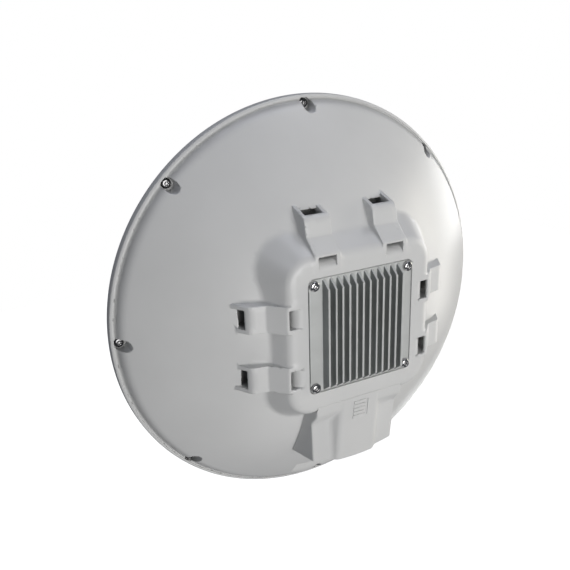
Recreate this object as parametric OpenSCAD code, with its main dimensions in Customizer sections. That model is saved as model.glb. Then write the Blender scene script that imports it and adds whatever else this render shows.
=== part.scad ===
// Closed round dish antenna, seen from behind: a deep rear shell with a raised housing,
// a finned heat sink, six strap loops, a sliding port cover, and the radio and feed inside.
// Local axes while modelling: u to the right as seen from behind, w up, n to the rear.

/* [Dish] */
// Widest diameter, over the rim of the front cover
rim_d = 300; // [297:0.5:303]
// Height of the rear bowl's apex over the rim plane
bowl_apex = 68.3; // [67.8:0.1:69]
// Focal length of the rear bowl's outer parabola
bowl_focal = 81.2; // [80:0.1:83]
// Wall of the rear shell
shell_wall = 2.5; // [2.2:0.1:2.8]
// Wall of the front cover
cover_wall = 2.6; // [2.2:0.1:3]
// Depth of the front cover ahead of its widest circle
cover_bulge = 22; // [20:0.5:28]

/* [Rim screws] */
// Number of rim screws
rim_screw_n = 8; // [6:1:12]
// Head diameter of the rim and heat sink screws
head_d = 7; // [6.4:0.1:7.4]
// Shank diameter of the rim and heat sink screws
shank_d = 4; // [3:0.1:4]
// Diameter of the pocket around each rim screw head
pocket_d = 8.4; // [8.2:0.1:8.8]
// How far each pocket runs on towards the dish axis
pocket_run = 1.2; // [0.4:0.1:2.2]

/* [Housing] */
// Height of the housing centre over the dish axis
housing_c = 5.3; // [4:0.1:6]
// Half width of the housing's flat rear face
housing_half = 49.7; // [48:0.1:51]
// Rounding of the housing's rear edge
housing_round = 7.2; // [6:0.1:8]
// Slope of the housing's side walls in degrees
housing_slope = 61; // [55:1:66]

/* [Heat sink] */
// Side of the square heat sink plate
sink_side = 80; // [76:0.5:80]
// Thickness of the heat sink plate
sink_plate = 4; // [3.5:0.1:4]
// Number of fins
fin_n = 12; // [8:1:13]
// Spacing of the fins
fin_pitch = 5.21; // [4.6:0.01:5.6]
// Thickness of a fin
fin_t = 1.8; // [1.2:0.1:2.4]
// Height of the fins over the plate
fin_h = 6.8; // [4:0.1:12]
// Spacing of the heat sink screws
sink_screw_pitch = 72; // [71:0.1:72.4]

/* [Strap loops] */
// Clear width of a strap loop
loop_clear = 13; // [12.6:0.1:13.4]
// Thickness of a strap loop's side walls
loop_wall = 3; // [2:0.1:3.2]
// Half spacing of the two loops on each side
loop_side = 21.1; // [18:0.1:23]
// Half spacing of the two loops on top
loop_top = 25.6; // [22:0.1:28]

/* [Port cover] */
// Half width of the port cover's rear face
cover_half = 33; // [32.5:0.1:33.3]
// Lower end of the port cover below the dish axis
cover_low = 97; // [96:0.5:100]
// Half width of the port cover's raised middle
cover_mid = 15.2; // [12:0.1:16]
// Wall of the port cover
door_wall = 2; // [1.6:0.1:2.2]
// Number of ribs on the thumb grip
grip_n = 5; // [3:1:5]

/* [Inside] */
// Focal length of the reflector
refl_focal = 74; // [73.5:0.1:74.5]
// Height of the reflector's apex over the rim plane
refl_apex = 55; // [54.5:0.1:55.2]
// Side of the square radio board
board_side = 94; // [93:0.5:95]
// Outside diameter of the waveguide tube
guide_d = 10; // [8:0.5:12]
// Bore of the waveguide tube
guide_bore = 4.2; // [3.6:0.1:5]
// Diameter of the sub-reflector
hat_d = 36; // [30:0.5:38]

/* [Hidden] */
$fn = 64;
rear_n = 70;                      // rear face of the housing
widest_n = -6.1;                  // plane of the widest circle
edge_n = -1.3;                    // rear edge of the front cover's rim
lip_n = -1.9;                     // lip around the rear shell
flange_n = -7.5;                  // front face of the rear shell's flange
lip_r = rim_d / 2 - 2.1;
shoulder_r = rim_d / 2 - 3.6;
screw_r = rim_d / 2 - 6.1;
seat_n = -5.1;                    // seat of the rim screw heads
ledge_r = 132.5;                  // inner edge of the flange
corner_c = 37;                    // corner centres of the housing
plate_n = 69.5;                   // rear face of the heat sink plate
board_n = 59;                     // rear face of the radio board
board_t = 1.6;
sink_open = 29;                   // half of the housing's opening under the heat sink
sink_scr = sink_screw_pitch / 2;
board_scr = 42;
hat_n = -17;
bay_half = 26;
bay_wall = -50.5;
bay_floor = 53.3;
tilt = 7.15;
LOOPS = [[0, loop_side + 0.25 - housing_c], [0, -loop_side + 0.25 - housing_c],
    [180, -(loop_side + 0.25 - housing_c)], [180, loop_side - 0.25 + housing_c],
    [90, loop_top], [90, -loop_top]];

function bowl(r) = bowl_apex - r * r / (4 * bowl_focal);
function bowl_in(r, t) = let(s = r / (2 * bowl_focal), l = sqrt(1 + s * s)) [r - t * s / l, bowl(r) - t / l];
SHOULDER = [11, 20, 30, 40, 49];    // rounding between bowl and lip, degrees
shoulder_rad = 16;
function shoulder(t, in) = let(c = shoulder_r - shoulder_rad, k = bowl(c + shoulder_rad * cos(49)) - shoulder_rad * sin(49))
    [c + (shoulder_rad - in) * cos(t), k + (shoulder_rad - in) * sin(t)];
function refl(r) = refl_apex - r * r / (4 * refl_focal);
function refl_out(r, t) = let(s = r / (2 * refl_focal), l = sqrt(1 + s * s)) [r + t * s / l, refl(r) + t / l];
function dome(r) = widest_n - 0.8 - cover_bulge + r * r / 1648;
function arc(cx, cy, r, a0, a1, k) = [for (i = [0:k]) let(a = a0 + (a1 - a0) * i / k) [cx + r * sin(a), cy + r * cos(a)]];

module placed() translate([0, -rear_n, 0]) rotate([90, 0, 180]) children();
module at_housing() translate([0, housing_c, 0]) children();
module at_loops() for (l = LOOPS) let($drop = l[0] == 90 ? 2.2 : 0) at_housing() rotate([0, 0, l[0]]) translate([0, l[1], 0]) children();
module section(w) rotate([90, 0, 0]) linear_extrude(w, center = true) children();
module at_rim() for (i = [0:rim_screw_n - 1]) rotate([0, 0, 360 / rim_screw_n * i]) translate([screw_r, 0, 0]) children();
module at_sink() at_housing() for (x = [-1, 1], y = [-1, 1]) translate([x * sink_scr, y * sink_scr, 0]) children();
module at_board() at_housing() for (x = [-1, 1], y = [-1, 1]) translate([x * board_scr, y * board_scr, 0]) children();
module rounded(x, y, r) for (i = [0, 1]) {
    square([x - 2 * r * i, y - 2 * r * (1 - i)], center = true);
    for (a = [-1, 1], b = [-1, 1]) translate([a * (x / 2 - r), b * (y / 2 - r)]) circle(r);
}
module slab(x, y, r, n0, n1) translate([0, 0, n0]) linear_extrude(n1 - n0) rounded(x, y, r);
module block(u0, u1, w0, w1, n0, n1) translate([u0, w0, n0]) cube([u1 - u0, w1 - w0, n1 - n0]);

// Pocket around a rim screw, rounded at both ends
module pocket(d, n) translate([0, 0, n]) {
    for (x = [0, -pocket_run]) translate([x, 0, 0]) cylinder(d = d, h = 30);
    translate([-pocket_run, -d / 2, 0]) cube([pocket_run, d, 30]);
}

// Low head screw with a six lobed recess, head up, underside of the head at 0
module head_screw(dh, hh, ds, len) {
    difference() {
        union() {
            rotate_extrude() polygon([[0, 0], [dh / 2, 0], [dh / 2, hh * 0.5], [dh * 0.46, hh * 0.8], [dh * 0.36, hh * 0.97], [dh * 0.2, hh], [0, hh]]);
            translate([0, 0, -len]) cylinder(d = ds, h = len + 0.01);
        }
        translate([0, 0, hh * 0.45]) linear_extrude(hh) {
            circle(d = dh * 0.36);
            for (i = [0:5]) rotate(60 * i) translate([dh * 0.19, 0]) circle(d = dh * 0.12);
        }
    }
}

// Housing solid, its edge rounded by r about a fixed centre line, its walls run down to low
module housing_solid(r, low) {
    cn = rear_n - housing_round;
    e = arc(housing_half, cn, r, 0, housing_slope, 4);
    f = e[4] + (e[4][1] - low) * [cos(housing_slope) / sin(housing_slope), -1];
    half = concat(e, [f]);
    at_housing() {
        for (s = [0, 90]) rotate([0, 0, s]) section(2 * corner_c)
            polygon(concat(half, [for (i = [5:-1:0]) [-half[i][0], half[i][1]]]));
        for (x = [-corner_c, corner_c], y = [-corner_c, corner_c]) translate([x, y, 0])
            rotate_extrude() polygon(concat([[0, low], [0, cn + r]], [for (p = half) [p[0] - corner_c, p[1]]]));
    }
}

module bowl_solid(up) rotate_extrude($fn = 96) polygon(concat(
    [[0, flange_n], [lip_r, flange_n], [lip_r, lip_n]],
    [for (t = SHOULDER) shoulder(t, 0) + [0, up]],
    [for (i = [17:-1:0]) [i * 8, bowl(i * 8) + up]]));

module bowl_cavity() rotate_extrude($fn = 96) polygon(concat(
    [[0, flange_n - 1], [ledge_r, flange_n - 1], [ledge_r, flange_n + 3], [shoulder_r - 2.6, flange_n + 3]],
    [for (t = [22, 36, 49]) shoulder(t, shell_wall)],
    [for (i = [17:-1:0]) bowl_in(i * 8, shell_wall)]));

// Strap channel floor, the strip over it and the walls beside it, as sections from the housing outwards
function channel(d) = concat([[44.5, 90]], arc(44.5, rear_n - 6.5, 6.5, 0, 80, 4),
    [[51.3, 50], [60, 46.8 - d / 2], [70, 42.2 - d], [76.6, 39 - d], [78 - 0.3 * d, 39.8 - d], [79.1 - 0.3 * d, 47.5 - 1.3 * d], [79.5 - 0.3 * d, 52], [79.5 - 0.3 * d, 90]]);
function loop(d) = [[44, 69.6], [48, 70], [54.6, 70], [55.4, 69.5], [64.6, 59.6], [74, 57.5], [76, 56.4], [77.3, 54.5], [83.9 - 1.1 * d, 43.2 - 0.7 * d], [82 - 1.1 * d, 38], [44, 38]];
BAR_SLOPE = [[54.4, 69.9], [55.4, 69.5], [64.6, 59.6], [63.3, 57.4], [53.7, 67.8], [53.6, 69.2]];
BAR_TOP = [[64.6, 59.6], [74, 57.5], [73.1, 55.2], [63.3, 57.4]];
BAR_END = [[74, 57.5], [76, 56.4], [77.3, 54.5], [77.3, 52.6], [75.5, 52.6], [73.1, 55.2]];
function pad(d) = [[40, 90], [40, 66.5], [46, 65.5], [48.6, 62.5], [48.9, 48.2], [59, 44.4 - d / 2], [69.5, 40 - d], [77.6, 36.2 - d], [81.2, 36.4 - d], [84, 41 - d], [84, 90]];

module rear_shell() color([0.86, 0.87, 0.86]) {
    difference() {
        union() {
            bowl_solid(0);
            housing_solid(housing_round, 37);
            // side walls of the loops: between their outer ends only the bowl is left
            at_loops() difference() {
                section(loop_clear + 2 * loop_wall) polygon(loop($drop));
                section(loop_clear) polygon([[76.2, 20], [95, 20], [95, 90], [76.2, 90]]);
            }
        }
        at_loops() section(loop_clear) polygon(channel($drop));
        difference() {
            union() {
                bowl_cavity();
                housing_solid(housing_round - shell_wall, 30);
            }
            at_loops() section(loop_clear + 2 * loop_wall) polygon(pad($drop));
            block(-bay_half - 2.2, bay_half + 2.2, -84, bay_wall + 2.2, bay_floor - 2, 80);
            block(-36, 36, -60, -43.5, 64, 80);
            at_housing() slab(sink_side + 5, sink_side + 5, 6, plate_n - sink_plate - 3.8, 80);
            at_sink() translate([0, 0, 59.5]) cylinder(d = 8.5, h = 10);
            at_board() translate([0, 0, board_n]) cylinder(d = 7, h = 10);
            at_rim() pocket(12.4, flange_n + 2.9);
            foot(24 + shell_wall, shell_wall);
        }
        // port bay, the step the port cover laps over, and the openings of jack and button
        block(-bay_half, bay_half, -110, bay_wall, bay_floor, 90);
        block(-34, 34, -62, -46.5, 67, 90);
        block(-8.3, 8.3, bay_wall - 1, -40, 53.5, 65.6);
        translate([17.5, -40, 60.9]) rotate([90, 0, 0]) cylinder(d = 4, h = 12);
        // heat sink recess and its opening
        at_housing() slab(sink_side + 0.6, sink_side + 0.6, 4.3, plate_n - sink_plate - 0.8, 90);
        at_housing() slab(2 * sink_open, 2 * sink_open, 4, 50, 90);
        at_sink() translate([0, 0, 55]) cylinder(d = shank_d + 0.1, h = 20);
        at_board() translate([0, 0, board_n - 1]) cylinder(d = 3.1, h = 7.5);
        // rim screw pockets
        at_rim() pocket(pocket_d, seat_n);
        at_rim() translate([0, 0, flange_n - 1]) cylinder(d = shank_d + 0.4, h = 10);
        // flat recess at the foot of the bowl
        foot(24, 0);
    }
    // rails for the port cover
    for (s = [-1, 1]) {
        difference() {
            union() {
                block(min(s * 28.6, s * 30.2), max(s * 28.6, s * 30.2), -93, -62, 36, 55.8);
                block(min(s * 28.6, s * 31.2), max(s * 28.6, s * 31.2), -93, -62, 54, 55.8);
            }
            bowl_cut();
        }
    }
}
// Recess at the foot of the bowl, half its width and how far it is grown inwards
module foot(half, t) rotate([90, 0, 90]) linear_extrude(2 * half, center = true)
    polygon([[-150, 3.8 - t], [-124.5 + t, 14 - 0.6 * t], [-124.5 + t, 40], [-150, 40]]);
module bowl_cut() rotate_extrude($fn = 96) polygon(concat([[0, 0], [128, 0]], [for (i = [16:-1:0]) [i * 8, bowl(i * 8) - 1]]));

// Bars over the strap channels, moulded with the rear shell, each in three straight lengths
module strap_bar_slopes() color([0.86, 0.87, 0.86]) at_loops() section(loop_clear) polygon(BAR_SLOPE);
module strap_bar_tops() color([0.86, 0.87, 0.86]) at_loops() section(loop_clear) polygon(BAR_TOP);
module strap_bar_ends() color([0.86, 0.87, 0.86]) at_loops() section(loop_clear) polygon(BAR_END);

module front_cover() color([0.88, 0.88, 0.87]) difference() {
    union() {
        difference() {
            rotate_extrude($fn = 96) polygon(concat(
                [[0, edge_n], [rim_d / 2 - 1.3, edge_n], [rim_d / 2 - 0.9, edge_n - 0.2], [rim_d / 2 - 0.7, edge_n - 0.6], [rim_d / 2, widest_n],
                 [rim_d / 2 - 0.3, widest_n - 2.7], [rim_d / 2 - 1.4, widest_n - 5.1], [rim_d / 2 - 3.4, widest_n - 7.5], [rim_d / 2 - 7, dome(rim_d / 2 - 7)]],
                [for (i = [6:-1:0]) [i * 22, dome(i * 22)]]));
            rotate_extrude($fn = 96) polygon(concat(
                [[0, 0], [rim_d / 2 - 1.85, 0], [rim_d / 2 - 1.85, -8], [rim_d / 2 - 2.8, -10.4], [rim_d / 2 - 5, -12.6], [rim_d / 2 - 9, dome(rim_d / 2 - 9) + cover_wall]],
                [for (i = [6:-1:0]) [i * 22, dome(i * 22) + cover_wall]]));
        }
        rotate_extrude($fn = 96) polygon([[132.2, dome(132.2) + 1], [139.6, dome(139.6) + 1], [139.6, -9.1], [135.9, -9.1], [135.9, -8.5], [132.2, -8.5]]);
        intersection() {
            at_rim() translate([0, 0, -14]) cylinder(d = 8.8, h = 14 + flange_n);
            rotate_extrude($fn = 96) polygon([[130, -14], [rim_d / 2 - 3, -14], [rim_d / 2 - 1, -9], [rim_d / 2 - 1, 0], [130, 0]]);
        }
    }
    at_rim() translate([0, 0, -13.2]) cylinder(d = shank_d + 0.1, h = 20);
}

module rim_gasket() color([0.2, 0.2, 0.21]) rotate_extrude($fn = 96)
    polygon([[136.2, -9.1], [139.4, -9.1], [139.4, flange_n], [136.2, flange_n]]);

module rim_screws() color([0.75, 0.75, 0.76]) at_rim() translate([0, 0, seat_n]) rotate([0, 0, 22]) head_screw(head_d, 2.6, shank_d, 7.6);

module heat_sink() color([0.7, 0.72, 0.71]) {
    difference() {
        at_housing() slab(sink_side, sink_side, 4, plate_n - sink_plate, plate_n);
        at_sink() translate([0, 0, 50]) cylinder(d = shank_d + 0.5, h = 30);
    }
    slab(36, 36, 2, 61.6, plate_n - sink_plate + 0.5);
    at_housing() for (i = [0:fin_n - 1]) translate([(i - (fin_n - 1) / 2) * fin_pitch, 0, 0]) rotate([90, 0, 90])
        linear_extrude(fin_t, center = true) polygon([[-39.3, plate_n - 0.5], [39.3, plate_n - 0.5], [39.3, plate_n], [33.8, plate_n + fin_h], [-33.8, plate_n + fin_h], [-39.3, plate_n]]);
}

module heat_sink_gasket() color([0.18, 0.18, 0.19]) at_housing() difference() {
    slab(sink_side - 1, sink_side - 1, 3.5, plate_n - sink_plate - 0.8, plate_n - sink_plate);
    slab(2 * sink_open + 1, 2 * sink_open + 1, 4.5, 50, 90);
    for (x = [-1, 1], y = [-1, 1]) translate([x * sink_scr, y * sink_scr, 50]) cylinder(d = shank_d + 0.6, h = 30);
}

module heat_sink_screws() color([0.75, 0.75, 0.76]) at_sink() translate([0, 0, plate_n]) rotate([0, 0, 17]) head_screw(head_d, 2.6, shank_d, 9);

// Port cover: outside profile pulled in by t
module door_solid(t) {
    low = -cover_low - (t > 0 ? 2 : 0);
    top = -46.8 + (t > 0 ? 2 : 0);
    intersection() {
        union() {
            rotate([90, 0, 90]) linear_extrude(100, center = true)
                polygon([[top, 69.4 - t], [-55, 68.2 - t], [-62.7 - t / 2, 61.6 - t], [-106, 59.1 - t], [-106, 25], [top, 25]]);
            translate([0, -46.8, 69.6 - t]) rotate([tilt, 0, 0]) translate([0, t, 0]) rotate([90, 0, 0]) linear_extrude(60)
                polygon([[-cover_mid + t / 2, 0], [cover_mid - t / 2, 0], [cover_mid + 4.8 - t / 2, -6], [cover_mid + 4.8 - t / 2, -30], [-cover_mid - 4.8 + t / 2, -30], [-cover_mid - 4.8 + t / 2, -6]]);
        }
        multmatrix([[1, 0, 0, 0], [0, 1, 0, 0], [0, 0.412, 1, 23.07], [0, 0, 0, 1]]) translate([0, -70, 0]) section(80)
            polygon([for (k = [1, -1]) for (i = k > 0 ? [0, 1] : [1, 0]) let(q = [[cover_half - 1.5, 84], [cover_half + 5.6, 42]][i]) [k * (q[0] - t), q[1]]]);
        block(-60, 60, -120, top, 20, 80);
        // lower end, a shallow arc with some draft
        translate([0, 138.3 + low, 20]) cylinder(r1 = 144.9, r2 = 137.7, h = 60, $fn = 128);
    }
}
module port_cover() color([0.87, 0.88, 0.87]) difference() {
    union() {
        difference() {
            door_solid(0);
            door_solid(door_wall);
        }
        // inner lips that run under the rails
        intersection() {
            for (s = [-1, 1]) block(min(s * 30.6, s * 40), max(s * 30.6, s * 40), -92, -71, 50.6, 53.6);
            door_solid(door_wall / 2);
        }
        // thumb grip
        translate([0, -46.8, 69.6]) rotate([tilt, 0, 0]) {
            for (i = [0:grip_n - 1]) block(-5.2, 4.4, -17.7 + 3 * i, -15.4 + 3 * i, -0.5, 0.45);
            block(6.2, 7, -17.4, -3.9, -0.5, 0.45);
        }
    }
    bowl_solid(0.55);
    difference() {
        housing_solid(housing_round + 0.4, 37);
        block(-33.6, 33.6, -62, -46.6, 67.3, 90);
    }
}

module reflector() color([0.78, 0.79, 0.8]) rotate_extrude($fn = 96) polygon(concat(
    [for (i = [0:14]) [19 + 8 * i, refl(19 + 8 * i)]],
    [[131, -8.5], [135.6, -8.5], [135.6, flange_n], [132, flange_n], [132, -2.6]],
    [for (i = [14:-1:0]) refl_out(19 + 8 * i, 1)]));

module feed_waveguide() color([0.72, 0.73, 0.74]) difference() {
    union() {
        slab(24, 24, 2, 53.4, board_n - board_t);
        translate([0, 0, -10]) cylinder(d = guide_d, h = 64);
    }
    translate([0, 0, -20]) cylinder(d = guide_bore, h = 90);
    for (x = [-9, 9], y = [-9, 9]) translate([x, y, 50]) cylinder(d = 2.2, h = 10);
}

module feed_dielectric() color([0.93, 0.92, 0.88]) rotate_extrude()
    polygon([[0, -4], [guide_bore / 2 - 0.05, -4], [guide_bore / 2 - 0.05, -10], [guide_d / 2, -10], [15, hat_n], [0, hat_n]]);

module sub_reflector() color([0.78, 0.79, 0.8]) rotate_extrude()
    polygon([[0, hat_n], [15.4, hat_n], [hat_d / 2 - 1, hat_n + 1], [hat_d / 2, hat_n + 0.6], [hat_d / 2, hat_n - 1.8], [hat_d / 2 - 2, hat_n - 2.6], [0, hat_n - 3.4]]);

module feed_screws() color([0.75, 0.75, 0.76]) for (x = [-9, 9], y = [-9, 9]) translate([x, y, 53.4]) rotate([180, 0, 0]) head_screw(3.8, 1.3, 2, 5);

module radio_board() color([0.1, 0.32, 0.2]) difference() {
    at_housing() slab(board_side, board_side, 3, board_n - board_t, board_n);
    cylinder(d = guide_bore, h = 100);
    for (x = [-9, 9], y = [-9, 9]) translate([x, y, 50]) cylinder(d = 2.2, h = 20);
    at_board() cylinder(d = 3.4, h = 100);
    block(-8.3, 8.3, -60, -37.5, 50, 70);
}

module board_screws() color([0.75, 0.75, 0.76]) at_board() translate([0, 0, board_n - board_t]) rotate([180, 0, 0]) head_screw(5.6, 2.2, 3, 7);

module radio_chip() color([0.12, 0.12, 0.13]) slab(14, 14, 0.5, board_n, board_n + 1.3);

module rf_shield() color([0.76, 0.77, 0.78]) difference() {
    slab(34, 34, 1, board_n, board_n + 1.6);
    slab(33.4, 33.4, 0.7, board_n - 1, board_n + 1.3);
}

module thermal_pad() color([0.55, 0.6, 0.68]) slab(34, 34, 1, board_n + 1.6, board_n + 2.6);

module processor() color([0.12, 0.12, 0.13]) translate([0, 26.5, 0]) slab(13, 13, 0.5, board_n, board_n + 1.4);

module lan_transformer() color([0.13, 0.13, 0.14]) translate([-23.6, -6, 0]) slab(9, 14, 0.5, board_n, board_n + 5);

module power_inductor() color([0.28, 0.28, 0.3]) translate([23.6, -8, 0]) slab(9, 9, 1.5, board_n, board_n + 4.5);

module ethernet_jack() color([0.16, 0.16, 0.17]) difference() {
    union() {
        block(-8, 8, -52.5, -37.8, 53.8, 65.3);
        for (s = [-1, 1]) block(min(s * 7.9, s * 10.5), max(s * 7.9, s * 10.5), -41.5, -38.5, board_n, board_n + 1.4);
    }
    block(-5.95, 5.95, -53, -40.5, 57, 64);
    block(-3.2, 3.2, -53, -40.5, 55, 58);
}

module jack_contacts() color([0.85, 0.68, 0.32]) for (i = [0:7]) translate([(i - 3.5) * 1.02, -40.5, 64]) rotate([19, 0, 0]) block(-0.18, 0.18, -8, -0.15, -0.65, -0.2);

module reset_switch() color([0.15, 0.15, 0.16]) translate([17.5, -39.5, 0]) slab(6, 4, 0.4, board_n, board_n + 3.6);

module reset_button() color([0.82, 0.82, 0.8]) translate([17.5, 0, 60.9]) rotate([90, 0, 0]) {
    translate([0, 0, 42.3]) cylinder(d = 3.4, h = 9.3);
    translate([0, 0, 47]) cylinder(d = 5.2, h = 1);
}

placed() rear_shell();
placed() strap_bar_slopes();
placed() strap_bar_tops();
placed() strap_bar_ends();
placed() front_cover();
placed() rim_gasket();
placed() rim_screws();
placed() heat_sink();
placed() heat_sink_gasket();
placed() heat_sink_screws();
placed() port_cover();
placed() reflector();
placed() feed_waveguide();
placed() feed_dielectric();
placed() sub_reflector();
placed() feed_screws();
placed() radio_board();
placed() board_screws();
placed() radio_chip();
placed() rf_shield();
placed() thermal_pad();
placed() processor();
placed() lan_transformer();
placed() power_inductor();
placed() ethernet_jack();
placed() jack_contacts();
placed() reset_switch();
placed() reset_button();
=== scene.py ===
import math
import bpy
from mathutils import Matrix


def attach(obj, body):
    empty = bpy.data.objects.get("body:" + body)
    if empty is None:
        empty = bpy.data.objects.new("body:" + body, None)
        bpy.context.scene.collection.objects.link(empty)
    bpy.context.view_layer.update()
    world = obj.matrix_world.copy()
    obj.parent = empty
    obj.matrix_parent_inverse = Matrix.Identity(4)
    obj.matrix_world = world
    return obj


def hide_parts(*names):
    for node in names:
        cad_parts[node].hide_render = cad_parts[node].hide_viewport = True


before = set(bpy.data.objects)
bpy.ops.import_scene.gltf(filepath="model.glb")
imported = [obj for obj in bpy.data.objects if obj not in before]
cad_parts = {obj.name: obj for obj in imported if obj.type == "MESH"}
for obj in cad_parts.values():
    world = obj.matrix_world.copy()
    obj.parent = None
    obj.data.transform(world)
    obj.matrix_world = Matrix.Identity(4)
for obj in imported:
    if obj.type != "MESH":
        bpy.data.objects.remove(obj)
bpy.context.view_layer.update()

from concurrent.futures import ThreadPoolExecutor

import bmesh
import bpy
import numpy as np
import openvdb
from mathutils import Matrix, Vector

# The rear of a closed round dish antenna. Shapes are worked out in millimetres in the dish's own
# axes (u right as seen from behind, w up, n to the rear), and then put into the frame in metres.
rad = math.radians
F32 = np.float32


def to_frame(p):
    """Points (u, w, n) in millimetres to the frame in metres."""
    p = np.asarray(p, float)
    return np.stack([-p[:, 0], p[:, 2] - 70.0, p[:, 1]], 1) / 1000.0


# ---------------------------------------------------------------- distance fields
def fillet(a, b, r):
    """Union of two fields with a fillet of radius r where they meet."""
    return np.maximum(r, np.minimum(a, b)) - np.hypot(np.maximum(r - a, 0), np.maximum(r - b, 0))


def both(a, b, r):
    """Intersection of two fields, its edge rounded by r."""
    return np.minimum(-r, np.maximum(a, b)) + np.hypot(np.maximum(r + a, 0), np.maximum(r + b, 0))


def cut(a, b, r):
    return both(a, -b, r)


def poly(x, y, pts):
    """Signed distance to a closed outline."""
    d = np.full(x.shape, 1e9, F32)
    inside = np.zeros(x.shape, bool)
    k = len(pts)
    for i in range(k):
        (ax, ay), (bx, by) = pts[i], pts[(i + 1) % k]
        ex, ey = F32(bx - ax), F32(by - ay)
        wx, wy = x - F32(ax), y - F32(ay)
        t = np.clip((wx * ex + wy * ey) / F32(ex * ex + ey * ey), 0, 1)
        np.minimum(d, (wx - ex * t) ** 2 + (wy - ey * t) ** 2, out=d)
        if abs(ey) > 1e-9:
            inside ^= ((ay > y) != (by > y)) & (wx < ex / ey * wy)
    d = np.sqrt(d)
    return np.where(inside, -d, d)


def soften(pts, radii):
    """The outline with its corners rounded, radii by corner."""
    out = []
    k = len(pts)
    for i in range(k):
        p = np.array(pts[i], float)
        r = radii[i] if isinstance(radii, (list, tuple)) else radii
        a, b = np.array(pts[i - 1], float) - p, np.array(pts[(i + 1) % k], float) - p
        la, lb = np.linalg.norm(a), np.linalg.norm(b)
        a, b = a / la, b / lb
        half = math.acos(max(-1, min(1, float(a @ b)))) / 2
        if r <= 0 or half > rad(88):
            out.append(tuple(p))
            continue
        t = min(r / math.tan(half), 0.45 * la, 0.45 * lb)
        for s in (0.0, 0.25, 0.5, 0.75, 1.0):
            q = (1 - s) ** 2 * (p + a * t) + 2 * s * (1 - s) * p + s * s * (p + b * t)
            out.append(tuple(q))
    return out


def box2(x, y, hx, hy, r=0.0):
    qx, qy = np.abs(x) - (hx - r), np.abs(y) - (hy - r)
    return np.hypot(np.maximum(qx, 0), np.maximum(qy, 0)) + np.minimum(np.maximum(qx, qy), 0) - r


def slab(v, lo, hi):
    return np.abs(v - (lo + hi) / 2) - (hi - lo) / 2


APEX, FOCAL = 68.3, 81.2
SH_R, SH_C = 16.0, 130.4
SH_A = rad(49)
SH_K = APEX - (SH_C + SH_R * math.cos(SH_A)) ** 2 / (4 * FOCAL) - SH_R * math.sin(SH_A)
REAR = 70.0
HC = 5.3


def bowl(r, n):
    """The bowl's outside: a parabola that ends in a rounded shoulder."""
    d = (n - (APEX - r * r / (4 * FOCAL))) / np.sqrt(1 + (r / (2 * FOCAL)) ** 2)
    ring = np.hypot(r - SH_C, n - SH_K) - SH_R
    return np.where((r > SH_C) & ((n - SH_K) * math.cos(SH_A) < (r - SH_C) * math.sin(SH_A)), ring, d)


HS, HCO = math.sin(rad(61)), math.cos(rad(61))


def housing(u, w, n, r=7.2):
    """The raised square housing: flat rear face, rounded edge, sloped walls, revolved corners."""
    qx, qy = np.abs(u) - 37, np.abs(w - HC) - 37
    x = np.hypot(np.maximum(qx, 0), np.maximum(qy, 0)) + np.minimum(np.maximum(qx, qy), 0) + (37 - 49.7)
    y = n - (REAR - 7.2)
    d = np.where((x > 0) & (y * HS > x * HCO), np.hypot(x, y), np.maximum(y, x * HS + y * HCO))
    return d - r


def arc_pts(cx, cy, r, a0, a1, k):
    return [(cx + r * math.sin(rad(a0 + (a1 - a0) * i / k)), cy + r * math.cos(rad(a0 + (a1 - a0) * i / k))) for i in range(k + 1)]


def channel_pts(d):
    return [(44.5, 90)] + arc_pts(44.5, REAR - 6.5, 6.5, 0, 80, 6) + [
        (51.3, 50), (60, 46.8 - d / 2), (70, 42.2 - d), (76.6, 39 - d), (78 - 0.3 * d, 39.8 - d), (79.1 - 0.3 * d, 47.5 - 1.3 * d), (79.5 - 0.3 * d, 52), (79.5 - 0.3 * d, 90)]


def loop_pts(d):
    return soften([(44, 69.6), (48, 70), (54.6, 70), (55.4, 69.5), (64.6, 59.6), (74, 57.5), (76, 56.4), (77.3, 54.5), (83.9 - 1.1 * d, 43.2 - 0.7 * d), (82 - 1.1 * d, 30), (44, 30)],
                  [0, 0, 0.5, 0.5, 0.5, 2, 2, 2, 0, 0, 0])


LOOP = {0: loop_pts(0), 1: loop_pts(2.2)}
STRIP = soften([(54.4, 69.9), (55.4, 69.5), (64.6, 59.6), (74, 57.5), (76, 56.4), (77.3, 54.5), (77.3, 52.6), (75.5, 52.6), (73.1, 55.2), (63.3, 57.4), (53.7, 67.8), (53.6, 69.2)],
               [0.4, 0.5, 0.5, 2, 2, 2, 0.4, 0.3, 1, 1, 0.3, 0.3])


def pad_pts(d):
    return [(40, 90), (40, 66.5), (46, 65.5), (48.6, 62.5), (48.9, 48.2), (59, 44.4 - d / 2), (69.5, 40 - d), (77.6, 36.2 - d), (81.2, 36.4 - d), (84, 41 - d), (84, 90)]


CHANNEL = {0: channel_pts(0), 1: channel_pts(2.2)}
PAD = {0: pad_pts(0), 1: pad_pts(2.2)}


def loop_places(u, w):
    """(across, along) of the side loops and of the top loops, folded onto one of each."""
    au = np.abs(u)
    return [(np.abs(np.abs(w - 0.25) - 21.1), au), (np.abs(au - 25.6), w - HC)]


def where_near(m, far, fn, *args):
    out = np.full(args[0].shape, far, F32)
    if m.any():
        out[m] = fn(*[a[m] for a in args])
    return out


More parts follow.
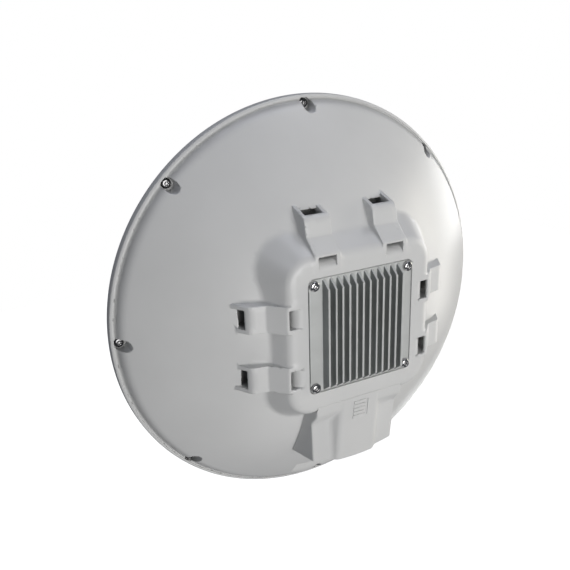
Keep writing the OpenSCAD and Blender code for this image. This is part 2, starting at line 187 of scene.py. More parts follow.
def rear_shell(p):
    u, w, n = p[:, 0], p[:, 1], p[:, 2]
    r = np.hypot(u, w)
    b = bowl(r, n)
    body = np.maximum(b, -7.5 - n)
    lip = both(np.maximum(-7.5 - n, (n + 1.9 + 0.25 * (r - 146.4)) * 0.97), r - 148.0, 0.15)
    d = fillet(body, lip, 0.9)
    h = housing(u, w, n)
    d = fillet(d, h, 1.2)
    places = loop_places(u, w)
    for i, (lat, a) in enumerate(places):
        m = (lat < 18) & (a > 36) & (a < 92) & (n > 26) & (n < 80)
        d = fillet(d, where_near(m, 8.0, lambda lat, a, n, i=i: cut(both(poly(a, n, LOOP[i]), lat - 9.5, 0.5), np.maximum(76.2 - a, lat - 6.5), 0.3), lat, a, n), np.interp(a, [74, 80], [1.1, 0.1]).astype(F32))
    # cavity and what stands in it
    flat = np.maximum(r - 132.5, n + 4.4)
    cav = np.minimum(np.maximum(b + 2.5, -4.5 - n), flat)
    cav = np.minimum(cav, np.maximum(h + 2.5, 30 - n))
    keep = np.maximum(np.abs(u) - 28.2, np.maximum(slab(w, -84, -48.3), 51.3 - n))
    keep = np.minimum(keep, np.maximum(np.abs(u) - 36, np.maximum(slab(w, -60, -43.5), 64 - n)))
    keep = np.minimum(keep, np.maximum(box2(u, w - HC, 42.5, 42.5, 6), 61.7 - n))
    su, sw = np.abs(u), np.abs(w - HC)
    keep = np.minimum(keep, np.maximum(np.hypot(su - 36, sw - 36) - 4.25, 59.5 - n))
    keep = np.minimum(keep, np.maximum(np.hypot(su - 42, sw - 42) - 3.5, 59 - n))
    th = np.arctan2(w, u)
    ph = np.mod(th + math.pi / 8, math.pi / 4) - math.pi / 8
    px, py = r * np.cos(ph) - 143.9, r * np.sin(ph)
    slot = np.hypot(px - np.clip(px, -1.2, 0), py)
    keep = np.minimum(keep, np.maximum(slot - 6.2, -4.6 - n))
    foot = (n - 3.8 - 0.4 * (w + 150)) * 0.9285
    keep = np.minimum(keep, np.maximum(np.maximum(-foot - 2.3, w + 122), np.abs(u) - 26.5))
    for i, (lat, a) in enumerate(places):
        m = (lat < 13) & (a > 36) & (a < 88) & (n > 30) & (n < 80)
        keep = np.minimum(keep, where_near(m, 3.0, lambda lat, a, n, i=i: np.maximum(poly(a, n, PAD[i]), lat - 9.5), lat, a, n))
    cav = np.maximum(cav, -keep)
    d = np.maximum(d, -cav)
    # port bay, the step that the cover laps over, the openings of jack and button
    bay = np.maximum(np.abs(u) - 26, np.maximum(slab(w, -130, -50.5), 53.3 - n))
    d = cut(d, bay, 0.5)
    d = cut(d, np.maximum(np.abs(u) - 34, np.maximum(slab(w, -62, -46.5), 67 - n)), 0.4)
    d = cut(d, np.maximum(np.abs(u) - 8.3, np.maximum(slab(w, -52, -40), slab(n, 53.5, 65.6))), 0.3)
    d = cut(d, np.maximum(np.hypot(u - 17.5, n - 60.9) - 2.0, slab(w, -56, -40)), 0.3)
    # heat sink recess and its opening
    d = cut(d, np.maximum(box2(u, w - HC, 40.3, 40.3, 4.3), 64.7 - n), 0.35)
    d = np.maximum(d, -np.maximum(box2(u, w - HC, 29, 29, 4), 50 - n))
    d = np.maximum(d, -np.maximum(np.hypot(su - 36, sw - 36) - 2.05, 55 - n))
    # strap channels, then the strips over them
    for i, (lat, a) in enumerate(places):
        m = (lat < 14) & (a > 38) & (a < 96) & (n > 30) & (n < 98)
        d = cut(d, where_near(m, 6.0, lambda lat, a, n, i=i: np.maximum(poly(a, n, CHANNEL[i]), lat - 6.5), lat, a, n), 0.35)
    for i, (lat, a) in enumerate(places):
        m = (lat < 14) & (a > 46) & (a < 86) & (n > 44) & (n < 80)
        d = fillet(d, where_near(m, 6.0, lambda lat, a, n: np.maximum(poly(a, n, STRIP), lat - 7.0), lat, a, n), 0.2)
    # rim screw pockets
    d = cut(d, np.maximum(slot - 4.2, -5.1 - n), 0.2)
    d = np.maximum(d, -(np.hypot(px, py) - 2.2))
    # flat recess at the foot of the bowl
    d = cut(d, np.maximum(np.maximum(-foot, w + 124.5), np.abs(u) - 24), 0.9)
    # rails for the port cover
    rail = np.minimum(np.maximum(slab(np.abs(u), 28.6, 30.2), slab(n, 30, 55.8)), np.maximum(slab(np.abs(u), 28.6, 31.2), slab(n, 54, 55.8)))
    d = np.minimum(d, np.maximum(np.maximum(rail, slab(w, -93, -62)), -(b + 1.0)))
    return d


TILT = rad(7.15)


def door_outside(u, w, n, t):
    """The port cover's outside, pulled in by t."""
    au = np.abs(u)
    side = poly(w, n, SIDE) + t
    y, z = (w + 46.8) * math.cos(TILT) + (n - 69.6) * math.sin(TILT), -(w + 46.8) * math.sin(TILT) + (n - 69.6) * math.cos(TILT)
    boss = both(both(z, (au - 15.2 + 0.8 * z) * 0.7809, 1.8), au - 20.0, 0.4) + t
    d = fillet(side, boss, np.interp(w, [-62, -57, -54], [2.0, 0.8, 0.05]).astype(F32))
    env = (au - 31.5 - 0.16905 * (84 - n + 0.412 * (w + 56))) / 1.0166 + t
    return both(d, env, 1.0 if t == 0 else 0.4)


SIDE = soften([(-30, 69.4), (-46.8, 69.4), (-55, 68.2), (-62.7, 61.6), (-97, 59.6), (-120, 58.2), (-120, 0), (-30, 0)], [0, 0, 8, 8, 0, 0, 0, 0])


def port_cover(p):
    u, w, n = p[:, 0], p[:, 1], p[:, 2]
    r = np.hypot(u, w)
    low = (np.hypot(u, w - 41.3) - 144.9 + 0.12 * (n - 20)) * 0.9929
    d = both(both(door_outside(u, w, n, 0), low, 0.5), w + 46.6, 0.1)
    d = np.maximum(d, -door_outside(u, w, n, 2.0))
    lips = np.maximum(np.maximum(30.6 - np.abs(u), door_outside(u, w, n, 1.0)), np.maximum(slab(w, -92, -71), slab(n, 50.6, 53.6)))
    d = np.minimum(d, lips)
    d = np.maximum(d, 0.25 - bowl(r, n))
    h = housing(u, w, n, 7.4)
    d = np.maximum(d, -np.maximum(h, -np.maximum(np.abs(u) - 33.8, np.maximum(slab(w, -62, -46.6), 67.15 - n))))
    return d


# ---------------------------------------------------------------- meshing
POOL = ThreadPoolExecutor(4)


def evaluate(field, p, chunk=200000):
    parts = [p[i:i + chunk] for i in range(0, len(p), chunk)]
    return np.concatenate(list(POOL.map(field, parts))) if parts else np.zeros(0, F32)


def gradient(field, p, e):
    g = np.zeros(p.shape, F32)
    for i in range(3):
        q = p.copy()
        q[:, i] += e
        hi = evaluate(field, q)
        q[:, i] -= 2 * e
        g[:, i] = hi - evaluate(field, q)
    return g / (2 * e)


def polygonise(field, lo, hi, h, adaptivity, eps):
    """Points, polygons and normals of the field's zero surface, from a sparse grid of spacing h."""
    lo, hi = np.array(lo, float), np.array(hi, float)
    nb = np.ceil((hi - lo) / (8 * h)).astype(int) + 1
    ijk = np.stack(np.meshgrid(*[np.arange(k) for k in nb], indexing="ij"), -1).reshape(-1, 3)
    centre = (lo + (ijk * 8 + 3.5) * h).astype(F32)
    ijk = ijk[np.abs(evaluate(field, centre)) < 8 * h * 0.87 * 1.25 + 2 * h]
    cell = np.stack(np.meshgrid(*[np.arange(8)] * 3, indexing="ij"), -1).reshape(-1, 3)
    band = 3 * h
    grid = openvdb.FloatGrid(band)
    grid.gridClass = openvdb.GridClass.LEVEL_SET
    grid.transform = openvdb.createLinearTransform(voxelSize=1.0)
    for s in range(0, len(ijk), 4000):
        part = ijk[s:s + 4000]
        pts = (lo + (part[:, None, :] * 8 + cell[None]) * h).reshape(-1, 3).astype(F32)
        val = np.clip(evaluate(field, pts), -band, band).reshape(-1, 8, 8, 8)
        for b, v in zip(part, val):
            grid.copyFromArray(np.ascontiguousarray(v), ijk=tuple(int(x) * 8 for x in b))
    grid.signedFloodFill()
    pts, tris, quads = grid.convertToPolygons(isovalue=0.0, adaptivity=adaptivity)
    p = (lo + pts.astype(float) * h).astype(F32)
    for _ in range(3):
        g = gradient(field, p, 0.04)
        k = np.maximum((g * g).sum(1), 0.2)
        step = (evaluate(field, p) / k)[:, None] * g
        size = np.linalg.norm(step, axis=1, keepdims=True)
        p = p - step * np.minimum(1, 0.6 * h / np.maximum(size, 1e-6))
    nrm = gradient(field, p, eps)
    nrm /= np.maximum(np.linalg.norm(nrm, axis=1, keepdims=True), 1e-6)
    faces = [tuple(int(x) for x in f) for f in tris] + [tuple(int(x) for x in f) for f in quads]
    return p, faces, nrm


def add_mesh(name, verts, faces, normals=None, smooth=True):
    me = bpy.data.meshes.new(name)
    me.from_pydata([tuple(v) for v in verts], [], faces)
    me.update()
    if smooth:
        me.polygons.foreach_set("use_smooth", np.ones(len(me.polygons), bool))
    if normals is not None:
        me.normals_split_custom_set_from_vertices([tuple(v) for v in normals])
    ob = bpy.data.objects.new(name, me)
    bpy.context.scene.collection.objects.link(ob)
    return ob


def field_piece(name, field, lo, hi, h, adaptivity, eps):
    p, faces, nrm = polygonise(field, lo, hi, h, adaptivity, eps)
    v = to_frame(p)
    nv = np.stack([-nrm[:, 0], nrm[:, 2], nrm[:, 1]], 1)
    f0 = np.array([f[:3] for f in faces])
    vol = np.einsum("ij,ij->i", v[f0[:, 0]], np.cross(v[f0[:, 1]], v[f0[:, 2]])).sum()
    face_n = np.cross(v[f0[:, 1]] - v[f0[:, 0]], v[f0[:, 2]] - v[f0[:, 0]])
    if np.einsum("ij,ij->", face_n, nv[f0[:, 0]]) < 0:
        faces = [f[::-1] for f in faces]
    print("PIECE", name, len(v), "points", len(faces), "faces")
    return add_mesh(name, v, faces, nv)


# ---------------------------------------------------------------- turned pieces
def lathe(profile, steps, closed=True):
    """Points (u, w, n) and faces of a closed (r, n) outline turned about the n axis."""
    k = len(profile)
    ang = np.arange(steps) * 2 * math.pi / steps
    verts = [(r * math.cos(a), r * math.sin(a), n) for a in ang for r, n in profile]
    faces = []
    for s in range(steps):
        t = (s + 1) % steps
        for i in range(k):
            j = (i + 1) % k
            if not closed and j == 0:
                continue
            faces.append((s * k + i, t * k + i, t * k + j, s * k + j))
    return verts, faces


def turned_piece(name, profile, steps, merge=True):
    v, f = lathe(profile, steps)
    ob = add_mesh(name, to_frame(v), f)
    bm = bmesh.new()
    bm.from_mesh(ob.data)
    if merge:
        bmesh.ops.remove_doubles(bm, verts=bm.verts, dist=1e-6)
        bmesh.ops.dissolve_degenerate(bm, dist=1e-7, edges=bm.edges)
    bmesh.ops.recalc_face_normals(bm, faces=bm.faces)
    bm.to_mesh(ob.data)
    bm.free()
    return ob


def smooth_by_angle(ob, deg):
    ob.data.polygons.foreach_set("use_smooth", np.ones(len(ob.data.polygons), bool))
    ob.data.set_sharp_from_angle(angle=rad(deg))


def screw_mesh(bm, centre, turn, dh, hh, ds, length, segs=72):
    """One pan head screw with a six lobed recess, head to the rear (n), underside of the head at centre."""
    R = dh / 2
    top = [(R * 0.985, 0.0), (R, 0.05 * hh), (R, 0.42 * hh), (R * 0.985, 0.56 * hh), (R * 0.94, 0.72 * hh), (R * 0.86, 0.85 * hh), (R * 0.74, 0.945 * hh), (R * 0.6, 0.985 * hh), (R * 0.5, hh)]
    thread = []
    k = int(length / 0.7)
    for i in range(k):
        z = -0.25 - i * 0.7
        thread += [(ds / 2, z), (ds / 2, z - 0.12), (ds / 2 - 0.28, z - 0.35), (ds / 2 - 0.28, z - 0.45)]
    thread += [(ds / 2 - 0.3, -length + 0.3), (ds / 2 - 0.8, -length)]
    rings = []

    def lobe(a):
        """Outline of the recess: six round lobes."""
        return R * (0.37 + 0.075 * math.cos(6 * a) + 0.012 * math.cos(12 * a))

    def ring(fn, z):
        out = []
        for s in range(segs):
            a = 2 * math.pi * s / segs
            q = fn(a)
            out.append(bm.verts.new((q * math.cos(a + turn) + centre[0], q * math.sin(a + turn) + centre[1], z + centre[2])))
        rings.append(out)

    for rr, z in reversed(thread):
        ring(lambda a, rr=rr: rr, z)
    ring(lambda a: ds / 2, 0.0)
    for rr, z in top:
        ring(lambda a, rr=rr: rr, z)
    ring(lambda a: lobe(a) + 0.025 * dh, hh)
    ring(lambda a: lobe(a), hh - 0.012 * dh)
    ring(lambda a: lobe(a) * 0.97, hh * 0.5)
    ring(lambda a: lobe(a) * 0.9, hh * 0.46)
    ring(lambda a: R * 0.12, hh * 0.4)
    for a, b in zip(rings, rings[1:]):
        for s in range(segs):
            t = (s + 1) % segs
            bm.faces.new((a[s], a[t], b[t], b[s]))
    bm.faces.new(list(reversed(rings[0])))
    bm.faces.new(rings[-1])


def screws_piece(name, places, dh, hh, ds, length):
    bm = bmesh.new()
    for c, turn in places:
        screw_mesh(bm, c, turn, dh, hh, ds, length)
    me = bpy.data.meshes.new(name)
    bm.to_mesh(me)
    bm.free()
    co = np.zeros(len(me.vertices) * 3)
    me.vertices.foreach_get("co", co)
    me.vertices.foreach_set("co", to_frame(co.reshape(-1, 3)).ravel())
    me.update()
    ob = bpy.data.objects.new(name, me)
    bpy.context.scene.collection.objects.link(ob)
    smooth_by_angle(ob, 32)
    return ob


# ---------------------------------------------------------------- materials
def node_mat(name):
    m = bpy.data.materials.new(name)
    m.use_nodes = True
    t = m.node_tree
    t.nodes.clear()
    out = t.nodes.new("ShaderNodeOutputMaterial")
    bsdf = t.nodes.new("ShaderNodeBsdfPrincipled")
    t.links.new(bsdf.outputs["BSDF"], out.inputs["Surface"])
    co = t.nodes.new("ShaderNodeTexCoord")
    return m, t, bsdf, co.outputs["Object"]


def noise(t, vec, scale, detail=3.0, rough=0.55):
    x = t.nodes.new("ShaderNodeTexNoise")
    x.inputs["Scale"].default_value = scale
    x.inputs["Detail"].default_value = detail
    x.inputs["Roughness"].default_value = rough
    t.links.new(vec, x.inputs["Vector"])
    return x.outputs["Fac"]


def ramp(t, fac, stops):
    x = t.nodes.new("ShaderNodeValToRGB")
    e = x.color_ramp.elements
    e[0].position, e[0].color = stops[0][0], (*stops[0][1], 1)
    e[1].position, e[1].color = stops[-1][0], (*stops[-1][1], 1)
    for p, c in stops[1:-1]:
        k = e.new(p)
        k.color = (*c, 1)
    t.links.new(fac, x.inputs["Fac"])
    return x.outputs["Color"]


def span(t, fac, lo, hi, a=0.0, b=1.0):
    x = t.nodes.new("ShaderNodeMapRange")
    x.inputs["From Min"].default_value = a
    x.inputs["From Max"].default_value = b
    x.inputs["To Min"].default_value = lo
    x.inputs["To Max"].default_value = hi
    t.links.new(fac, x.inputs["Value"])
    return x.outputs["Result"]


def bump(t, height, strength, distance, normal=None):
    x = t.nodes.new("ShaderNodeBump")
    x.inputs["Strength"].default_value = strength
    x.inputs["Distance"].default_value = distance
    t.links.new(height, x.inputs["Height"])
    if normal is not None:
        t.links.new(normal, x.inputs["Normal"])
    return x.outputs["Normal"]


def shade(c, k):
    return tuple(min(1.0, max(0.0, v * k)) for v in c)


def moulded(name, colour, rough=0.36, grain=1.0, recess=None):
    """Satin moulded plastic: spark-eroded grain, slow flow variation in colour and gloss; with recess given, painted
    shade that darkens the colour towards 0.4 of itself by that attribute.
    """
    m, t, b, co = node_mat(name)
    slow = noise(t, co, 22.0, 3.0)
    fine = noise(t, co, 1700.0, 2.0)
    tone = ramp(t, slow, [(0.3, shade(colour, 0.975)), (0.7, shade(colour, 1.02))])
    # painted shade: where the recess attribute is high, the colour is mixed towards 0.4 of itself
    if recess:
        painted_shade_node = t.nodes.new("ShaderNodeAttribute")
        painted_shade_node.attribute_name = recess
        mix = t.nodes.new("ShaderNodeMix")
        mix.data_type = "RGBA"
        t.links.new(painted_shade_node.outputs["Fac"], mix.inputs[0])
        t.links.new(tone, mix.inputs[6])
        mix.inputs[7].default_value = (*shade(colour, 0.4), 1)
        tone = mix.outputs[2]
    t.links.new(tone, b.inputs["Base Color"])
    t.links.new(span(t, fine, rough - 0.06, rough + 0.06, 0.3, 0.7), b.inputs["Roughness"])
    b.inputs["Specular IOR Level"].default_value = 0.5
    t.links.new(bump(t, fine, 0.10 * grain, 0.00012), b.inputs["Normal"])
    return m


def metal(name, colour, rough=0.3, metallic=1.0, scale=900.0, depth=0.00005, strength=0.15, spread=0.08):
    m, t, b, co = node_mat(name)
    slow, fine = noise(t, co, 60.0, 3.0), noise(t, co, scale, 3.0)
    t.links.new(ramp(t, slow, [(0.3, shade(colour, 0.94)), (0.7, shade(colour, 1.05))]), b.inputs["Base Color"])
    t.links.new(span(t, fine, rough - spread, rough + spread, 0.3, 0.7), b.inputs["Roughness"])
    b.inputs["Metallic"].default_value = metallic
    t.links.new(bump(t, fine, strength, depth), b.inputs["Normal"])
    return m


def shaded_casting(name, face, shaded_flank, rough=0.46, metallic=0.2):
    """Die cast metal: fine cast grain, faces in the metal's colour and a painted shade on the fins' flanks, picked
    by their normal.
    """
    m, t, b, co = node_mat(name)
    slow, fine = noise(t, co, 60.0, 3.0), noise(t, co, 1500.0, 3.0)
    axes = t.nodes.new("ShaderNodeSeparateXYZ")
    t.links.new(co.node.outputs["Normal"], axes.inputs[0])
    side = t.nodes.new("ShaderNodeMath")
    side.operation = "ABSOLUTE"
    t.links.new(axes.outputs["X"], side.inputs[0])
    # painted shade: faces that point sideways, the fins' flanks, are mixed to the darker colour
    mix = t.nodes.new("ShaderNodeMix")
    mix.data_type = "RGBA"
    t.links.new(span(t, side.outputs[0], 0.0, 1.0, 0.45, 0.85), mix.inputs[0])
    t.links.new(ramp(t, slow, [(0.3, shade(face, 0.95)), (0.7, shade(face, 1.04))]), mix.inputs[6])
    t.links.new(ramp(t, slow, [(0.3, shade(shaded_flank, 0.9)), (0.7, shade(shaded_flank, 1.1))]), mix.inputs[7])
    t.links.new(mix.outputs[2], b.inputs["Base Color"])
    t.links.new(span(t, fine, rough - 0.08, rough + 0.08, 0.3, 0.7), b.inputs["Roughness"])
    b.inputs["Metallic"].default_value = metallic
    t.links.new(bump(t, fine, 0.12, 0.00005), b.inputs["Normal"])
    return m


def rubber(name, colour):
    m, t, b, co = node_mat(name)
    fine = noise(t, co, 1300.0, 4.0)
    t.links.new(ramp(t, noise(t, co, 120.0), [(0.3, shade(colour, 0.8)), (0.7, shade(colour, 1.3))]), b.inputs["Base Color"])
    t.links.new(span(t, fine, 0.72, 0.9, 0.3, 0.7), b.inputs["Roughness"])
    t.links.new(bump(t, fine, 0.25, 0.0001), b.inputs["Normal"])
    return m


def board_mat(name):
    """Circuit board: dark solder mask with faint tracks, glass weave at the edges."""
    m, t, b, co = node_mat(name)
    brick = t.nodes.new("ShaderNodeTexBrick")
    brick.inputs["Scale"].default_value = 260.0
    brick.inputs["Color1"].default_value = (0.012, 0.085, 0.045, 1)
    brick.inputs["Color2"].default_value = (0.016, 0.105, 0.055, 1)
    brick.inputs["Mortar"].default_value = (0.03, 0.16, 0.09, 1)
    brick.inputs["Mortar Size"].default_value = 0.018
    t.links.new(co, brick.inputs["Vector"])
    t.links.new(brick.outputs["Color"], b.inputs["Base Color"])
    t.links.new(span(t, noise(t, co, 700.0), 0.28, 0.42, 0.3, 0.7), b.inputs["Roughness"])
    t.links.new(bump(t, brick.outputs["Fac"], 0.2, 0.00004), b.inputs["Normal"])
    return m


# the shell's colour darkens by the recess attribute: painted shade in the strap channels and the rim's crease
SHELL = moulded("shell_plastic", (0.66, 0.665, 0.66), recess="recess")
COVER = moulded("cover_plastic", (0.66, 0.665, 0.66))
DOOR = moulded("door_plastic", (0.66, 0.665, 0.66))
# the second colour is a painted shade for the fins' flanks
SINK = shaded_casting("sink_metal", (0.555, 0.57, 0.56), (0.275, 0.29, 0.288))
# one screw steel in two copies: this darker one is painted shade for the rim screws in their pockets, the next
# lighter one is painted light for the heat sink screws
SHADED_SCREW_STEEL = metal("screw_steel_shaded_copy", (0.18, 0.18, 0.183), rough=0.12, scale=1200.0, strength=0.05, spread=0.03)
LIT_SCREW_STEEL = metal("screw_steel_lit_copy", (0.46, 0.46, 0.465), rough=0.12, scale=1200.0, strength=0.05, spread=0.03)
GASKET = rubber("gasket_rubber", (0.03, 0.03, 0.032))
SPUN = metal("spun_sheet", (0.78, 0.79, 0.8), rough=0.32)
TURNED = metal("turned_metal", (0.72, 0.73, 0.74), rough=0.25)
WAXY = moulded("dielectric_plastic", (0.80, 0.78, 0.70), rough=0.4)
BOARD = board_mat("board_mask")
CHIP = moulded("chip_package", (0.02, 0.02, 0.022), rough=0.55)
TIN = metal("tinned_sheet", (0.7, 0.71, 0.72), rough=0.28)
PAD_MAT = rubber("thermal_pad_rubber", (0.22, 0.28, 0.40))
JACK = moulded("jack_plastic", (0.022, 0.022, 0.024), rough=0.38)
GOLD = metal("plated_contact", (0.83, 0.6, 0.22), rough=0.2)
BUTTON = moulded("button_plastic", (0.60, 0.60, 0.585))


def finish_piece(ob, mat, body, slot, *nodes):
    ob.data.materials.clear()
    ob.data.materials.append(mat)
    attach(ob, body)
    if nodes:
        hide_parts(*nodes)


# ---------------------------------------------------------------- pieces
def painted_shade_of(p):
    """Painted shade, 0 to 1: how far inside a strap channel, under its bar, a point of the shell lies, and a band in
    the crease at the rim's shoulder.
    """
    u, w, n = p[:, 0], p[:, 1], p[:, 2]
    out = np.zeros(len(p), F32)
    # painted shade in the strap channels, under their bars
    for i, (lat, a) in enumerate(loop_places(u, w)):
        d = 2.2 * i
        under = np.interp(a, [53.7, 63.3, 73.1, 75.5], [67.8, 57.4, 55.2, 52.6])
        k = np.clip((lat < 6.7) * np.clip((under - n) / 0.8, 0, 1) * np.clip((a - 55) / 5, 0, 1), 0, 1)
        k *= np.maximum(np.clip((77.6 - a) / 1.5, 0, 1), np.clip((46.6 - 1.3 * d - n) / 1.2, 0, 1) * (a < 79.6))
        k *= np.abs(poly(a.astype(F32), n.astype(F32), CHANNEL[i])) < 7
        out = np.maximum(out, k * (n > 34))
    r = np.hypot(u, w)
    # painted shade along the crease between the rim's lip and the bowl's shoulder
    crease_shade = 0.55 * np.clip(1 - np.hypot(r - 146.2, n + 1.9) / 8.0, 0, 1) * np.clip((147.6 - r) / 1.2, 0, 1) * (n > -3.0)
    return np.maximum(out, crease_shade)


shell = field_piece("rear_shell_moulding", rear_shell, (-151, -151, -10), (151, 151, 73), 0.55, 0.3, 0.2)
co = np.zeros(len(shell.data.vertices) * 3)
shell.data.vertices.foreach_get("co", co)
co = co.reshape(-1, 3) * 1000
# the recess attribute carries the painted shade for the shell's material
shell.data.attributes.new("recess", "FLOAT", "POINT").data.foreach_set("value", painted_shade_of(np.stack([-co[:, 0], co[:, 2], co[:, 1] + 70], 1)).astype(F32))
finish_piece(shell, SHELL, "body", "shell", "rear_shell", "strap_bar_slopes", "strap_bar_tops", "strap_bar_ends")
door = field_piece("port_cover_moulding", port_cover, (-44, -105, 14), (44, -44, 72), 0.3, 0.05, 0.12)
finish_piece(door, DOOR, "cover", "door", "port_cover")


def rounded_block(bm, lo, hi, edge):
    """A block with rounded edges, in the tilted plane of the thumb grip."""
    made = bmesh.ops.create_cube(bm, size=1.0)["verts"]
    for v in made:
        v.co = Vector([(a + b) / 2 + x * (b - a) for a, b, x in zip(lo, hi, v.co)])
    bmesh.ops.bevel(bm, geom=list({e for v in made for e in v.link_edges}), offset=edge, segments=2, profile=0.5, affect="EDGES")


def grip_piece(name):
    bm = bmesh.new()
    for i in range(5):
        rounded_block(bm, (-5.2, -17.7 + 3 * i, -0.6), (4.4, -15.4 + 3 * i, 0.6), 0.12)
    rounded_block(bm, (6.2, -17.4, -0.6), (7.0, -3.9, 0.6), 0.12)
    c, q = math.cos(TILT), math.sin(TILT)
    for v in bm.verts:
        u, y, z = v.co
        v.co = to_frame([(u, -46.8 + y * c - z * q, 69.6 + y * q + z * c)])[0]
    bmesh.ops.recalc_face_normals(bm, faces=bm.faces)
    me = bpy.data.meshes.new(name)
    bm.to_mesh(me)
    bm.free()
    ob = bpy.data.objects.new(name, me)
    bpy.context.scene.collection.objects.link(ob)
    smooth_by_angle(ob, 40)
    return ob


grip = grip_piece("port_cover_grip")
finish_piece(grip, DOOR, "cover", "door", "port_cover")


def dome(r):
    return -28.9 + r * r / 1648.0


outer = [(148.08, -2.9), (147.86, -2.7), (147.86, -1.75), (147.92, -1.5), (148.08, -1.38), (148.25, -1.4), (148.6, -1.56), (149.0, -1.8), (149.3, -2.0), (149.55, -2.2), (149.72, -2.42), (149.82, -2.8), (149.88, -3.3), (149.95, -4.2), (150.0, -6.1), (149.97, -7.1), (149.86, -8.1), (149.6, -9.2), (149.15, -10.3), (148.45, -11.4), (147.5, -12.5), (146.3, -13.6), (144.8, -14.9)]
outer += [(r, dome(r)) for r in np.linspace(143, 0, 40)]
inner = [(r, dome(r) + 2.6) for r in np.linspace(0, 132.2, 36)] + [(132.2, -8.5), (135.9, -8.5), (135.9, -9.1), (139.6, -9.1), (139.6, dome(139.6) + 2.6), (141, dome(141) + 2.6), (143.4, -13.4), (145, -12.6), (146.4, -11.6), (147.3, -10.4), (147.9, -9.2), (148.08, -8)]
cover = turned_piece("front_cover_moulding", outer + inner, 288)
smooth_by_angle(cover, 34)
finish_piece(cover, COVER, "body", "cover", "front_cover")

RIM = [((143.9 * math.cos(i * math.pi / 4), 143.9 * math.sin(i * math.pi / 4), -5.1), rad(22 + 45 * i + (17 * i) % 31)) for i in range(8)]
rim = screws_piece("rim_screw_set", RIM, 7.0, 2.6, 4.0, 7.6)
finish_piece(rim, SHADED_SCREW_STEEL, "body", "screw", "rim_screws")
SNK = [((x * 36.0, HC + y * 36.0, 69.5), rad(17 + 23 * x + 11 * y)) for x in (-1, 1) for y in (-1, 1)]
snk = screws_piece("heat_sink_screw_set", SNK, 7.0, 2.6, 4.0, 9.0)
finish_piece(snk, LIT_SCREW_STEEL, "body", "screw", "heat_sink_screws")



def heat_sink(p):
    """Die cast heat sink: plate, twelve fins with sloped ends, a pedestal under it."""
    u, w, n = p[:, 0], p[:, 1], p[:, 2]
    v = w - HC
    plate = both(box2(u, v, 40, 40, 4.0), slab(n, 65.5, 69.5), 0.3)
    k = np.clip(np.round(u / 5.21 + 5.5), 0, 11) - 5.5
    side = np.abs(u - 5.21 * k) - 0.95 + 0.02 * (n - 69.5)
    end = (np.abs(v) - 39.3 + (n - 69.5) * (5.5 / 6.8)) * 0.7775
    fin = both(both(side, end, 0.35), slab(n, 66, 76.3), 0.3)
    d = fillet(plate, fin, 0.5)
    d = np.minimum(d, np.maximum(box2(u, w, 18, 18, 2), slab(n, 61.6, 66)))
    d = cut(d, np.hypot(np.abs(u) - 36, np.abs(v) - 36) - 2.25, 0.15)
    return d


sink = field_piece("heat_sink_casting", heat_sink, (-42, -37, 60), (42, 48, 78), 0.3, 0.35, 0.12)
finish_piece(sink, SINK, "body", "sink", "heat_sink")

CARRIED = {"rim_gasket": (GASKET, 0.0002), "heat_sink_gasket": (GASKET, 0.0001), "reflector": (SPUN, 0.0001),
           "feed_waveguide": (TURNED, 0.0002), "feed_dielectric": (WAXY, 0.0002), "sub_reflector": (SPUN, 0.0002), "feed_screws": (SHADED_SCREW_STEEL, 0.00005),
           "radio_board": (BOARD, 0.0001), "board_screws": (SHADED_SCREW_STEEL, 0.00005), "radio_chip": (CHIP, 0.0001), "rf_shield": (TIN, 0.0001),
           "thermal_pad": (PAD_MAT, 0.0001), "processor": (CHIP, 0.0001), "lan_transformer": (CHIP, 0.0002), "power_inductor": (CHIP, 0.0003),
           "ethernet_jack": (JACK, 0.0002), "jack_contacts": (GOLD, 0.00005), "reset_switch": (CHIP, 0.00015), "reset_button": (BUTTON, 0.0003)}
for node, (mat, width) in CARRIED.items():
    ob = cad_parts[node]
    ob.data.materials.clear()
    ob.data.materials.append(mat)
    weld = ob.modifiers.new("weld", "WELD")
    weld.merge_threshold = 1e-6
    flat = ob.modifiers.new("flat", "DECIMATE")
    flat.decimate_type = "DISSOLVE"
    flat.angle_limit = rad(0.6)
    bev = ob.modifiers.new("edges", "BEVEL")
    bev.width = width
    bev.segments = 2
    bev.limit_method = "ANGLE"
    bev.angle_limit = rad(28)
    bev.use_clamp_overlap = True
    bev.harden_normals = False
    ob.data.polygons.foreach_set("use_smooth", np.ones(len(ob.data.polygons), bool))
    wn = ob.modifiers.new("normals", "WEIGHTED_NORMAL")
    wn.keep_sharp = False

# ---------------------------------------------------------------- stage, light, camera
scene = bpy.context.scene
floor = add_mesh("floor", [(-6, -6, -2.2), (6, -6, -2.2), (6, 6, -2.2), (-6, 6, -2.2)], [(0, 1, 2, 3)], smooth=False)
fm, ft, fb, fco = node_mat("pale_floor")
fb.inputs["Base Color"].default_value = (0.9, 0.9, 0.9, 1)
fb.inputs["Emission Color"].default_value = (1, 1, 1, 1)
fb.inputs["Emission Strength"].default_value = 1.0
floor.visible_diffuse = floor.visible_glossy = floor.visible_shadow = False
floor.data.materials.append(fm)

world = bpy.data.worlds.new("studio")
scene.world = world
world.use_nodes = True
wt = world.node_tree
bg = wt.nodes["Background"]
bg.inputs["Color"].default_value = (0.097, 0.103, 0.114, 1)
bg.inputs["Strength"].default_value = 1.0
white = wt.nodes.new("ShaderNodeBackground")
white.inputs["Color"].default_value = (1, 1, 1, 1)
wp = wt.nodes.new("ShaderNodeLightPath")
wm = wt.nodes.new("ShaderNodeMixShader")
wt.links.new(wp.outputs["Is Camera Ray"], wm.inputs["Fac"])
wt.links.new(bg.outputs["Background"], wm.inputs[1])
wt.links.new(white.outputs["Background"], wm.inputs[2])
wt.links.new(wm.outputs["Shader"], wt.nodes["World Output"].inputs["Surface"])


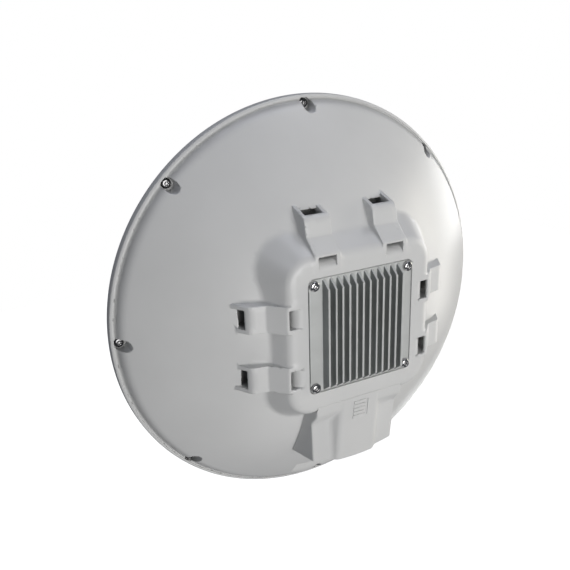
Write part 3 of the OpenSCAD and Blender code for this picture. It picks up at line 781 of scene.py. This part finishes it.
def softbox(name, at, aim, size, power, colour=(1, 1, 1)):
    li = bpy.data.lights.new(name, "AREA")
    li.shape = "RECTANGLE"
    li.size, li.size_y = size
    li.energy = power
    li.color = colour
    ob = bpy.data.objects.new(name, li)
    ob.location = at
    ob.rotation_mode = "QUATERNION"
    ob.rotation_quaternion = (Vector(aim) - Vector(at)).to_track_quat("-Z", "Y")
    scene.collection.objects.link(ob)
    return ob


def from_side(name, way, size, power, colour):
    """A soft box 2.2 m away in the direction (u, w, n)."""
    v = Vector((-way[0], way[2], way[1])).normalized() * 2.2
    return softbox(name, v, (0, 0, 0), size, power, colour)


from_side("front", (0, 0, 1), (1.4, 1.4), 34.6, (1.0, 0.985, 0.972))
from_side("right", (0.97, 0.1, 0.2), (0.8, 0.8), 10.8, (1.0, 0.95, 0.84))
from_side("key", (0.95, 0, -0.3), (0.8, 0.8), 8.4, (1.0, 0.995, 0.98))
from_side("low_key", (0.95, -0.3, 0), (0.8, 0.8), 6.5, (1.0, 0.96, 0.90))
from_side("top_strip", (0.28, 2.0, -0.3), (2.4, 0.6), 11.6, (0.93, 0.95, 1.07))
from_side("top_right", (0.43, 0.88, -0.2), (0.35, 0.35), 2.2, (1.0, 0.99, 1.0))
from_side("upper_left", (-0.66, 0.745, 0.03), (0.5, 0.5), 2.2, (0.95, 0.97, 1.05))
from_side("behind", (0.5, -0.4, -0.77), (1.4, 1.4), 19.0, (1.0, 1.0, 1.0))
from_side("below", (0, -0.9, 0.4), (1.2, 1.2), 5.0, (1.0, 0.98, 0.96))

cam_data = bpy.data.cameras.new("camera")
cam_data.lens = 46.89
cam_data.sensor_width = 36.0
cam = bpy.data.objects.new("camera", cam_data)
rt, up, bk = Vector((-0.88052453, 0.47313238, -0.02867597)), Vector((-0.19089542, -0.2985916, 0.93509465)), Vector((0.43386115, 0.82884788, 0.35323603))
cam.matrix_world = Matrix(((rt.x, up.x, bk.x, 0.25349), (rt.y, up.y, bk.y, 0.37626), (rt.z, up.z, bk.z, 0.20679), (0, 0, 0, 1)))
scene.collection.objects.link(cam)
scene.camera = cam
scene.view_settings.view_transform = "Standard"
scene.view_settings.look = "None"
